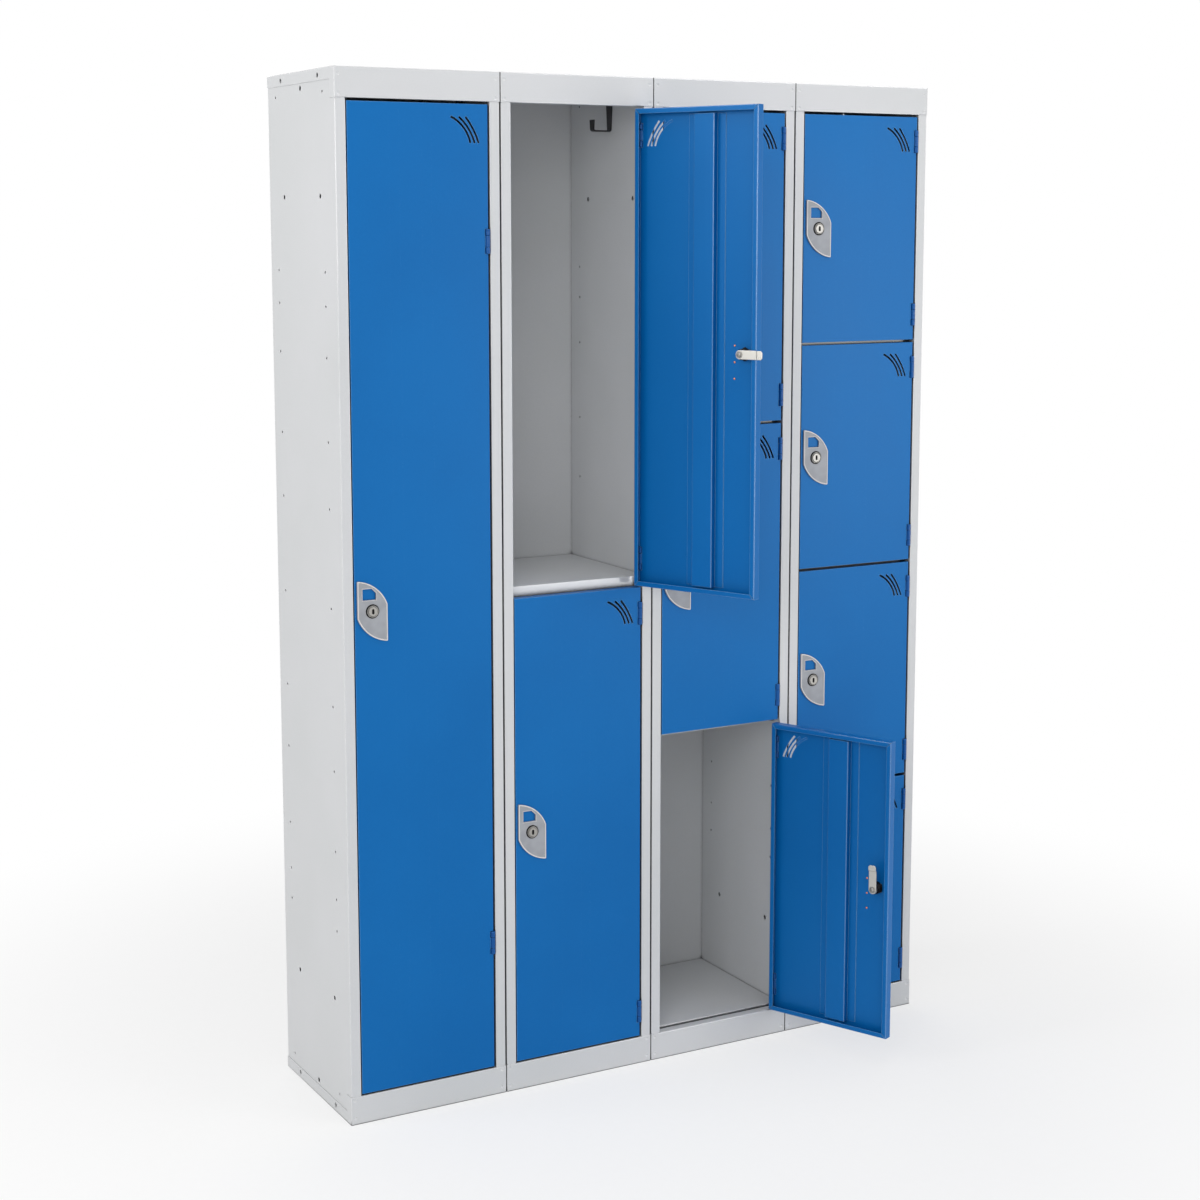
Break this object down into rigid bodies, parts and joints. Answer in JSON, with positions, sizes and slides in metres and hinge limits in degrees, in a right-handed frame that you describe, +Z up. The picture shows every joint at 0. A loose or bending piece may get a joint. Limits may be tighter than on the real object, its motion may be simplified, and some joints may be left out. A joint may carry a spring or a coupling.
{
  "type": "locker cabinet",
  "caption": "Row of tall narrow steel lockers joined side by side, with hinged doors, cam locks, shelves and coat hooks, for storing clothes and bags.",
  "frame": {"origin": "on the floor, in the middle of the row's footprint without its open doors", "axes": "+Z up, doors face -Y, +X to the right of a person facing the doors"},
  "size_m": [1.2016, 0.5595, 1.8],
  "materials": {
    "carcass_grey": "light grey powder coat, satin with a fine orange-peel texture",
    "door_blue": "mid blue powder coat, satin with a fine orange-peel texture",
    "lock_plate_grey": "moulded grey plastic, satin",
    "lock_metal": "bright nickel-plated lock plug and cam",
    "hook_black": "black coated steel strip"
  },
  "bodies": {
    "carcass": {"left_side_1": "carcass_grey", "left_side_2": "carcass_grey", "left_side_3": "carcass_grey", "left_side_4": "carcass_grey", "right_side_1": "carcass_grey", "right_side_2": "carcass_grey", "right_side_3": "carcass_grey", "right_side_4": "carcass_grey", "back_panel_1": "carcass_grey", "back_panel_2": "carcass_grey", "back_panel_3": "carcass_grey", "back_panel_4": "carcass_grey", "top_cap_1": "carcass_grey", "top_cap_2": "carcass_grey", "top_cap_3": "carcass_grey", "top_cap_4": "carcass_grey", "base_tray_1": "carcass_grey", "base_tray_2": "carcass_grey", "base_tray_3": "carcass_grey", "base_tray_4": "carcass_grey", "floor_tray_1": "carcass_grey", "floor_tray_2": "carcass_grey", "floor_tray_3": "carcass_grey", "floor_tray_4": "carcass_grey", "shelf_2": "carcass_grey", "shelves_3": "carcass_grey", "shelves_4": "carcass_grey", "coat_hooks": "hook_black", "hinge_leaves": "door_blue"},
    "door_1a": {"door_1a": "door_blue", "lock_plate_1a": "lock_plate_grey"},
    "lock_1a": {"lock_cam_1a": "lock_metal"},
    "door_2a": {"door_2a": "door_blue", "lock_plate_2a": "lock_plate_grey"},
    "lock_2a": {"lock_cam_2a": "lock_metal"},
    "door_2b": {"door_2b": "door_blue", "lock_plate_2b": "lock_plate_grey"},
    "lock_2b": {"lock_cam_2b": "lock_metal"},
    "door_3a": {"door_3a": "door_blue", "lock_plate_3a": "lock_plate_grey"},
    "lock_3a": {"lock_cam_3a": "lock_metal"},
    "door_3b": {"door_3b": "door_blue", "lock_plate_3b": "lock_plate_grey"},
    "lock_3b": {"lock_cam_3b": "lock_metal"},
    "door_3c": {"door_3c": "door_blue", "lock_plate_3c": "lock_plate_grey"},
    "lock_3c": {"lock_cam_3c": "lock_metal"},
    "door_4a": {"door_4a": "door_blue", "lock_plate_4a": "lock_plate_grey"},
    "lock_4a": {"lock_cam_4a": "lock_metal"},
    "door_4b": {"door_4b": "door_blue", "lock_plate_4b": "lock_plate_grey"},
    "lock_4b": {"lock_cam_4b": "lock_metal"},
    "door_4c": {"door_4c": "door_blue", "lock_plate_4c": "lock_plate_grey"},
    "lock_4c": {"lock_cam_4c": "lock_metal"},
    "door_4d": {"door_4d": "door_blue", "lock_plate_4d": "lock_plate_grey"},
    "lock_4d": {"lock_cam_4d": "lock_metal"}
  },
  "joints": [
    {"name": "door_1a_hinge", "type": "hinge", "parent": "carcass", "child": "door_1a", "pos_m": [-0.32545, -0.1515, 0.9], "axis": [0, 0, 1], "range_deg": [0, 115]},
    {"name": "lock_1a_turn", "type": "hinge", "parent": "door_1a", "child": "lock_1a", "pos_m": [-0.54775, -0.1515, 0.9], "axis": [0, -1, 0], "range_deg": [0, 90]},
    {"name": "door_2a_hinge", "type": "hinge", "parent": "carcass", "child": "door_2a", "pos_m": [-0.02495, -0.1515, 1.325], "axis": [0, 0, 1], "range_deg": [-114, 1]},
    {"name": "lock_2a_turn", "type": "hinge", "parent": "door_2a", "child": "lock_2a", "pos_m": [0.06547, -0.35458, 1.325], "axis": [0.9135, 0.4067, 0], "range_deg": [-90, 0]},
    {"name": "door_2b_hinge", "type": "hinge", "parent": "carcass", "child": "door_2b", "pos_m": [-0.02495, -0.1515, 0.475], "axis": [0, 0, 1], "range_deg": [0, 115]},
    {"name": "lock_2b_turn", "type": "hinge", "parent": "door_2b", "child": "lock_2b", "pos_m": [-0.24725, -0.1515, 0.475], "axis": [0, -1, 0], "range_deg": [0, 90]},
    {"name": "door_3a_hinge", "type": "hinge", "parent": "carcass", "child": "door_3a", "pos_m": [0.27555, -0.1515, 1.46667], "axis": [0, 0, 1], "range_deg": [0, 115]},
    {"name": "lock_3a_turn", "type": "hinge", "parent": "door_3a", "child": "lock_3a", "pos_m": [0.05325, -0.1515, 1.46667], "axis": [0, -1, 0], "range_deg": [0, 90]},
    {"name": "door_3b_hinge", "type": "hinge", "parent": "carcass", "child": "door_3b", "pos_m": [0.27555, -0.1515, 0.9], "axis": [0, 0, 1], "range_deg": [0, 115]},
    {"name": "lock_3b_turn", "type": "hinge", "parent": "door_3b", "child": "lock_3b", "pos_m": [0.05325, -0.1515, 0.9], "axis": [0, -1, 0], "range_deg": [0, 90]},
    {"name": "door_3c_hinge", "type": "hinge", "parent": "carcass", "child": "door_3c", "pos_m": [0.27555, -0.1515, 0.33333], "axis": [0, 0, 1], "range_deg": [-114, 1]},
    {"name": "lock_3c_turn", "type": "hinge", "parent": "door_3c", "child": "lock_3c", "pos_m": [0.36597, -0.35458, 0.33333], "axis": [0.9135, 0.4067, 0], "range_deg": [0, 90]},
    {"name": "door_4a_hinge", "type": "hinge", "parent": "carcass", "child": "door_4a", "pos_m": [0.57605, -0.1515, 1.5375], "axis": [0, 0, 1], "range_deg": [0, 115]},
    {"name": "lock_4a_turn", "type": "hinge", "parent": "door_4a", "child": "lock_4a", "pos_m": [0.35375, -0.1515, 1.5375], "axis": [0, -1, 0], "range_deg": [0, 90]},
    {"name": "door_4b_hinge", "type": "hinge", "parent": "carcass", "child": "door_4b", "pos_m": [0.57605, -0.1515, 1.1125], "axis": [0, 0, 1], "range_deg": [0, 115]},
    {"name": "lock_4b_turn", "type": "hinge", "parent": "door_4b", "child": "lock_4b", "pos_m": [0.35375, -0.1515, 1.1125], "axis": [0, -1, 0], "range_deg": [0, 90]},
    {"name": "door_4c_hinge", "type": "hinge", "parent": "carcass", "child": "door_4c", "pos_m": [0.57605, -0.1515, 0.6875], "axis": [0, 0, 1], "range_deg": [0, 115]},
    {"name": "lock_4c_turn", "type": "hinge", "parent": "door_4c", "child": "lock_4c", "pos_m": [0.35375, -0.1515, 0.6875], "axis": [0, -1, 0], "range_deg": [0, 90]},
    {"name": "door_4d_hinge", "type": "hinge", "parent": "carcass", "child": "door_4d", "pos_m": [0.57605, -0.1515, 0.2625], "axis": [0, 0, 1], "range_deg": [0, 115]},
    {"name": "lock_4d_turn", "type": "hinge", "parent": "door_4d", "child": "lock_4d", "pos_m": [0.35375, -0.1515, 0.2625], "axis": [0, -1, 0], "range_deg": [0, 90]}
  ]
}
